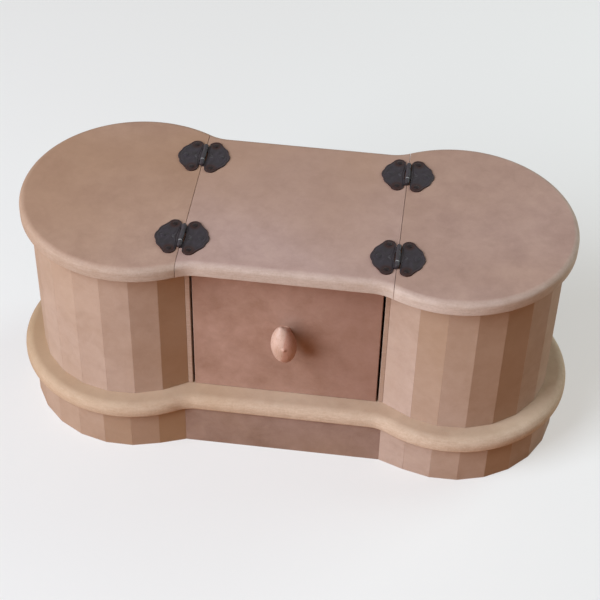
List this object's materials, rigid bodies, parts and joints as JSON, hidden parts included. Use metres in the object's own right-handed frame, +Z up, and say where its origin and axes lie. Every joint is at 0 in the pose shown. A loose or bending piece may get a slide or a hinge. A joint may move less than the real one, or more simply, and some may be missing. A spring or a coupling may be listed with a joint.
{
  "type": "wooden box with drawer",
  "caption": "Raw fibreboard box with a sliding drawer in the middle and a hinged-lid compartment in each round stave-built end, on a shaped plate and plinth.",
  "frame": {"origin": "centre of the plan, on the surface the box stands on", "axes": "+X along the box to the right, -Y to the front with the drawer, +Z up"},
  "size_m": [0.369, 0.153, 0.1666],
  "materials": {
    "mdf_top": "raw sanded fibreboard face",
    "mdf_plate": "raw routed fibreboard edge",
    "mdf_staves": "raw sanded fibreboard",
    "mdf_boards": "raw sanded fibreboard",
    "mdf_drawer": "raw sanded fibreboard",
    "knob_beech": "turned unfinished beech",
    "hinge_metal": "blackened bronze-tone finish, worn brown at the rims",
    "screw_steel": "zinc-plated"
  },
  "bodies": {
    "carcass": {"back_panel": "mdf_boards", "base_plate": "mdf_plate", "centre_top": "mdf_top", "hinge_fixed_leaf_left_front": "hinge_metal", "hinge_fixed_leaf_left_rear": "hinge_metal", "hinge_fixed_leaf_right_front": "hinge_metal", "hinge_fixed_leaf_right_rear": "hinge_metal", "hinge_pin_left_front": "hinge_metal", "hinge_pin_left_rear": "hinge_metal", "hinge_pin_right_front": "hinge_metal", "hinge_pin_right_rear": "hinge_metal", "nails_centre_top": "hinge_metal", "partition_left": "mdf_boards", "partition_right": "mdf_boards", "plinth_back_board": "mdf_boards", "plinth_front_board": "mdf_boards", "plinth_staves_left": "mdf_staves", "plinth_staves_right": "mdf_staves", "tower_staves_left": "mdf_staves", "tower_staves_right": "mdf_staves"},
    "drawer": {"drawer_back": "mdf_drawer", "drawer_bottom": "mdf_drawer", "drawer_front": "mdf_drawer", "drawer_side_left": "mdf_drawer", "drawer_side_right": "mdf_drawer", "knob": "knob_beech", "knob_screw": "screw_steel"},
    "left_lid": {"hinge_moving_leaf_left_front": "hinge_metal", "hinge_moving_leaf_left_rear": "hinge_metal", "lid_left": "mdf_top", "nails_lid_left": "hinge_metal"},
    "right_lid": {"hinge_moving_leaf_right_front": "hinge_metal", "hinge_moving_leaf_right_rear": "hinge_metal", "lid_right": "mdf_top", "nails_lid_right": "hinge_metal"}
  },
  "joints": [
    {"name": "left_lid_hinge", "type": "hinge", "parent": "carcass", "child": "left_lid", "pos_m": [-0.0665, 0, 0.1648], "axis": [0, 1, 0], "range_deg": [0, 115]},
    {"name": "right_lid_hinge", "type": "hinge", "parent": "carcass", "child": "right_lid", "pos_m": [0.0665, 0, 0.1648], "axis": [0, -1, 0], "range_deg": [0, 115]},
    {"name": "drawer_slide", "type": "slide", "parent": "carcass", "child": "drawer", "axis": [0, -1, 0], "range_m": [0, 0.07]}
  ]
}
